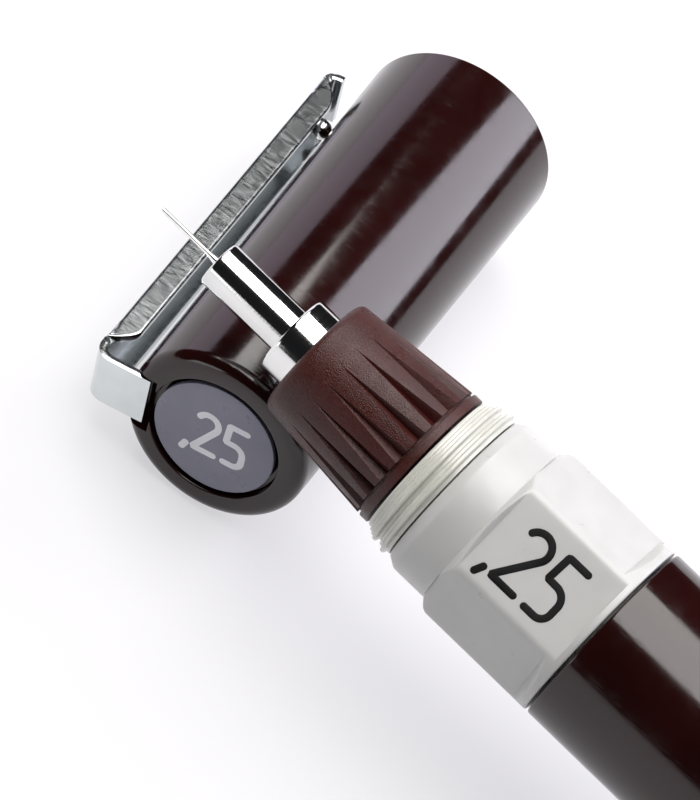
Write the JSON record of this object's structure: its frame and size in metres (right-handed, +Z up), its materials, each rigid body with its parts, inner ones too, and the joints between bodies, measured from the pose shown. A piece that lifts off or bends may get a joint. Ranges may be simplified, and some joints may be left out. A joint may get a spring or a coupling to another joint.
{
  "type": "technical pen",
  "caption": "Refillable technical drawing pen with a fine steel tube point, fluted nib, marked size collar and long round barrel, uncapped and leaning on its clip cap.",
  "frame": {"origin": "on the resting surface, under the middle of the pen and cap together", "axes": "+X along the pen from its tip to its rear, +Y towards the mouth of the cap that lies across under the nib, +Z up"},
  "size_m": [0.1322, 0.034, 0.019],
  "materials": {
    "steel": "polished, lightly worn",
    "wire": "drawn wire",
    "brass": "turned",
    "nib_maroon": "fine spark-eroded satin",
    "maroon": "high gloss, moulded",
    "natural": "translucent, moulded",
    "white": "slightly translucent, moulded",
    "inner_plastic": "moulded",
    "clear": "clear, moulded",
    "rubber": "matt",
    "disc": "printed, satin"
  },
  "bodies": {
    "section": {"size_collar": "white", "snap_ring": "natural", "section_sleeve": "inner_plastic"},
    "nib_ring": {"nib_seal": "rubber"},
    "nib": {"writing_tube": "steel", "point_shell": "steel", "nib_cone": "nib_maroon", "nib_core": "inner_plastic", "weight_stop": "inner_plastic"},
    "weight": {"drop_weight": "brass", "cleaning_wire": "wire"},
    "ink": {"reservoir": "clear"},
    "barrel_ring": {"barrel_seal": "rubber"},
    "barrel": {"barrel": "maroon", "end_plug": "maroon"},
    "cap": {"cap_shell": "maroon", "cap_liner": "inner_plastic", "cap_disc": "disc", "clip_head": "steel", "seal_spring": "wire"},
    "seal": {"seal_cup": "rubber"},
    "clip": {"clip_arm": "steel", "clip_ball": "steel"}
  },
  "joints": [
    {"name": "nib_advance", "type": "slide", "parent": "section", "child": "nib_ring", "axis": [-0.9966, 0, 0.0819], "range_m": [0, 0.0015]},
    {"name": "nib_turn", "type": "hinge", "parent": "nib_ring", "child": "nib", "pos_m": [-0.06377, -0.01127, 0.01546], "axis": [-0.9966, 0, 0.0819], "range_deg": [0, 725]},
    {"name": "weight_drop", "type": "slide", "parent": "nib", "child": "weight", "axis": [-0.9966, 0, 0.0819], "range_m": [0, 0.0015]},
    {"name": "reservoir_pull", "type": "slide", "parent": "nib", "child": "ink", "axis": [0.9966, 0, -0.0819], "range_m": [0, 0.008]},
    {"name": "barrel_advance", "type": "slide", "parent": "section", "child": "barrel_ring", "axis": [0.9966, 0, -0.0819], "range_m": [0, 0.005]},
    {"name": "barrel_turn", "type": "hinge", "parent": "barrel_ring", "child": "barrel", "pos_m": [0.0658, -0.01127, 0.00481], "axis": [0.9966, 0, -0.0819], "range_deg": [0, 1445]},
    {"name": "cap_slide", "type": "slide", "parent": "section", "child": "cap", "axis": [-0.1271, 0.9919, 0], "range_m": [0, 0.035]},
    {"name": "seal_press", "type": "slide", "parent": "cap", "child": "seal", "axis": [0.1271, -0.9918, -0.0103], "range_m": [0, 0.001], "stiffness_N_per_m": 150, "springref_m": -0.002, "deforming": ["seal_spring"]},
    {"name": "clip_flex", "type": "hinge", "parent": "cap", "child": "clip", "pos_m": [-0.06245, -0.01254, 0.00381], "axis": [-0.2049, -0.0365, 0.9781], "range_deg": [0, 8], "stiffness_Nm_per_rad": 0.3}
  ],
  "couplings": [
    {"joint": "nib_turn", "follows": "nib_advance", "rad_per_m": 8377.6},
    {"joint": "barrel_turn", "follows": "barrel_advance", "rad_per_m": 5026.5}
  ]
}
